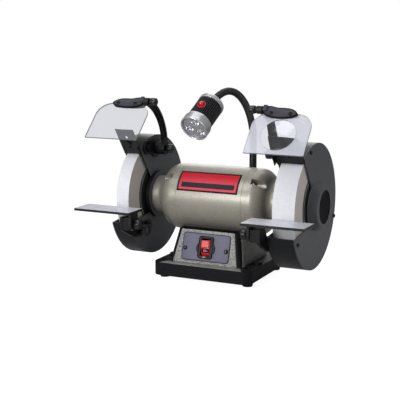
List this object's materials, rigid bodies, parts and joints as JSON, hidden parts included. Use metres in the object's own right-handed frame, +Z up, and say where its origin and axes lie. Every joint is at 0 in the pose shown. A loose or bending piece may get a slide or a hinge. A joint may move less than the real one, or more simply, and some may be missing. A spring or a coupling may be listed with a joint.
{
  "type": "bench grinder",
  "caption": "Double-ended bench grinder: motor on a base, two guarded wheels, eye shields, tool rests and a gooseneck work lamp.",
  "frame": {"origin": "on the bench under the feet, at the centre of the four bench bolt holes", "axes": "+X along the arbor to the wide wheel, -Y towards the operator, +Z up"},
  "size_m": [0.4444, 0.2716, 0.3492],
  "materials": {
    "black_wrinkle": "wrinkle black paint",
    "champagne": "fine metallic champagne paint",
    "champagne_cast": "fine metallic champagne paint over cast aluminium",
    "guard_grey": "satin dark grey paint",
    "satin_black": "satin black paint",
    "clamp_slate": "slate grey moulding",
    "black_plastic": "fine matt moulding",
    "red_plastic": "semi-gloss red moulding",
    "rubber": "matt",
    "plate_grey": "brushed grey plate",
    "steel": "zinc plated",
    "lamination": "laminated electrical steel",
    "copper": "enamelled copper wire",
    "abrasive": "vitrified white aluminium oxide, rough",
    "blotter": "printed black paper",
    "clear_sheet": "clear polycarbonate",
    "rest_steel": "ground steel plate",
    "silver": "polished",
    "reflector": "satin",
    "led": "clear dome"
  },
  "bodies": {
    "frame": {"base_casting": "black_wrinkle", "bottom_plate": "steel", "rubber_feet": "rubber", "machine_screws": "steel", "switch_plate": "plate_grey", "switch_housing": "black_plastic", "run_capacitor": "black_plastic", "cord_gland": "black_plastic", "motor_shell": "champagne", "end_bell_left": "champagne_cast", "end_bell_right": "champagne_cast", "through_bolts": "steel", "stator_core": "lamination", "stator_windings": "copper", "arbor_bearings": "steel", "guard_left": "guard_grey", "guard_right": "guard_grey", "guard_cover_left": "guard_grey", "guard_cover_right": "guard_grey", "guard_studs": "steel", "lamp_post": "satin_black"},
    "arbor": {"rotor_core": "lamination", "arbor_shaft": "steel", "wheel_flanges": "steel", "wheel_blotters": "blotter", "wheel_left": "abrasive", "wheel_right": "abrasive", "arbor_nuts": "steel"},
    "rocker": {"switch_rocker": "red_plastic"},
    "arrestor_left": {"spark_arrestor_left": "satin_black"},
    "arrestor_right": {"spark_arrestor_right": "satin_black"},
    "arm_left": {"shield_arm_left": "satin_black"},
    "arm_right": {"shield_arm_right": "satin_black"},
    "arm_lock_left": {"arm_knob_left": "black_plastic"},
    "arm_lock_right": {"arm_knob_right": "black_plastic"},
    "shield_left": {"shield_clamp_left": "clamp_slate", "eye_shield_left": "clear_sheet"},
    "shield_right": {"shield_clamp_right": "clamp_slate", "eye_shield_right": "clear_sheet", "magnifier_lens": "clear_sheet"},
    "shield_lock_left": {"shield_knob_left": "black_plastic"},
    "shield_lock_right": {"shield_knob_right": "black_plastic"},
    "bracket_left": {"rest_bracket_left": "satin_black"},
    "bracket_right": {"rest_bracket_right": "satin_black"},
    "table_left": {"rest_table_left": "rest_steel"},
    "table_right": {"rest_table_right": "rest_steel"},
    "tilt_lock_left": {"rest_knob_left": "black_plastic"},
    "tilt_lock_right": {"rest_knob_right": "black_plastic"},
    "slide_lock_left": {"slide_knob_left": "black_plastic"},
    "slide_lock_right": {"slide_knob_right": "black_plastic"},
    "neck_1": {"neck_link_1": "satin_black"},
    "neck_2": {"neck_link_2": "satin_black"},
    "neck_3": {"neck_link_3": "satin_black"},
    "neck_4": {"neck_link_4": "satin_black"},
    "lamp": {"neck_link_5": "satin_black", "lamp_rings": "silver", "lamp_grip": "black_plastic", "lamp_reflector": "reflector", "lamp_leds": "led"},
    "lamp_switch": {"lamp_button": "red_plastic"}
  },
  "joints": [
    {"name": "arbor_spin", "type": "hinge", "parent": "frame", "child": "arbor", "pos_m": [0, 0, 0.1435], "axis": [1, 0, 0], "continuous": true},
    {"name": "switch_rock", "type": "hinge", "parent": "frame", "child": "rocker", "pos_m": [0, -0.06212, 0.06102], "axis": [-1, 0, 0], "range_deg": [0, 24]},
    {"name": "arrestor_slide_left", "type": "slide", "parent": "frame", "child": "arrestor_left", "axis": [0, -0.5878, 0.809], "range_m": [-0.002, 0.008]},
    {"name": "arm_pivot_left", "type": "hinge", "parent": "frame", "child": "arm_left", "pos_m": [-0.123, -0.011, 0.234], "axis": [1, 0, 0], "range_deg": [-10, 10]},
    {"name": "arm_knob_turn_left", "type": "hinge", "parent": "frame", "child": "arm_lock_left", "pos_m": [-0.102, -0.011, 0.234], "axis": [1, 0, 0], "range_deg": [-180, 180]},
    {"name": "shield_tilt_left", "type": "hinge", "parent": "arm_left", "child": "shield_left", "pos_m": [-0.13, -0.08074, 0.32727], "axis": [1, 0, 0], "range_deg": [-45, 10]},
    {"name": "shield_knob_turn_left", "type": "hinge", "parent": "arm_left", "child": "shield_lock_left", "pos_m": [-0.1, -0.08074, 0.32727], "axis": [1, 0, 0], "range_deg": [-180, 180]},
    {"name": "rest_slide_left", "type": "slide", "parent": "frame", "child": "bracket_left", "axis": [0, -1, 0], "range_m": [-0.004, 0.008]},
    {"name": "rest_tilt_left", "type": "hinge", "parent": "bracket_left", "child": "table_left", "pos_m": [-0.114, -0.1341, 0.11], "axis": [1, 0, 0], "range_deg": [-5, 40]},
    {"name": "rest_knob_turn_left", "type": "hinge", "parent": "bracket_left", "child": "tilt_lock_left", "pos_m": [-0.105, -0.1341, 0.11], "axis": [1, 0, 0], "range_deg": [-180, 180]},
    {"name": "slide_knob_turn_left", "type": "hinge", "parent": "frame", "child": "slide_lock_left", "pos_m": [-0.12, -0.078, 0.0865], "axis": [1, 0, 0], "range_deg": [-180, 180]},
    {"name": "arrestor_slide_right", "type": "slide", "parent": "frame", "child": "arrestor_right", "axis": [0, -0.5878, 0.809], "range_m": [-0.002, 0.008]},
    {"name": "arm_pivot_right", "type": "hinge", "parent": "frame", "child": "arm_right", "pos_m": [0.123, -0.011, 0.234], "axis": [1, 0, 0], "range_deg": [-15, 5]},
    {"name": "arm_knob_turn_right", "type": "hinge", "parent": "frame", "child": "arm_lock_right", "pos_m": [0.102, -0.011, 0.234], "axis": [1, 0, 0], "range_deg": [-180, 180]},
    {"name": "shield_tilt_right", "type": "hinge", "parent": "arm_right", "child": "shield_right", "pos_m": [0.13, -0.08861, 0.32083], "axis": [1, 0, 0], "range_deg": [-45, 5]},
    {"name": "shield_knob_turn_right", "type": "hinge", "parent": "arm_right", "child": "shield_lock_right", "pos_m": [0.1, -0.08861, 0.32083], "axis": [1, 0, 0], "range_deg": [-180, 180]},
    {"name": "rest_slide_right", "type": "slide", "parent": "frame", "child": "bracket_right", "axis": [0, -1, 0], "range_m": [-0.0015, 0.008]},
    {"name": "rest_tilt_right", "type": "hinge", "parent": "bracket_right", "child": "table_right", "pos_m": [0.114, -0.1291, 0.11], "axis": [1, 0, 0], "range_deg": [-3, 40]},
    {"name": "rest_knob_turn_right", "type": "hinge", "parent": "bracket_right", "child": "tilt_lock_right", "pos_m": [0.105, -0.1291, 0.11], "axis": [1, 0, 0], "range_deg": [-180, 180]},
    {"name": "slide_knob_turn_right", "type": "hinge", "parent": "frame", "child": "slide_lock_right", "pos_m": [0.12, -0.078, 0.0865], "axis": [1, 0, 0], "range_deg": [-180, 180]},
    {"name": "neck_bend_1", "type": "hinge", "parent": "frame", "child": "neck_1", "pos_m": [0.0334, 0.074, 0.2465], "axis": [0.8048, -0.5936, 0], "range_deg": [-10, 10]},
    {"name": "neck_bend_2", "type": "hinge", "parent": "neck_1", "child": "neck_2", "pos_m": [0.02222, 0.07155, 0.30713], "axis": [-0.5137, -0.6965, -0.501], "range_deg": [-15, 15]},
    {"name": "neck_bend_3", "type": "hinge", "parent": "neck_2", "child": "neck_3", "pos_m": [0.0087, 0.06349, 0.33219], "axis": [0.8048, -0.5936, 0], "range_deg": [-10, 10]},
    {"name": "neck_bend_4", "type": "hinge", "parent": "neck_3", "child": "neck_4", "pos_m": [-0.00287, 0.05052, 0.34155], "axis": [0.057, 0.0773, -0.9954], "range_deg": [-15, 15]},
    {"name": "neck_bend_5", "type": "hinge", "parent": "neck_4", "child": "lamp", "pos_m": [-0.01199, 0.03284, 0.33966], "axis": [0.8048, -0.5936, 0], "range_deg": [-10, 10]},
    {"name": "lamp_button_press", "type": "slide", "parent": "lamp", "child": "lamp_switch", "axis": [-0.08, 0.5936, -0.8008], "range_m": [0, 0.0018], "stiffness_N_per_m": 600, "springref_m": -0.001}
  ]
}
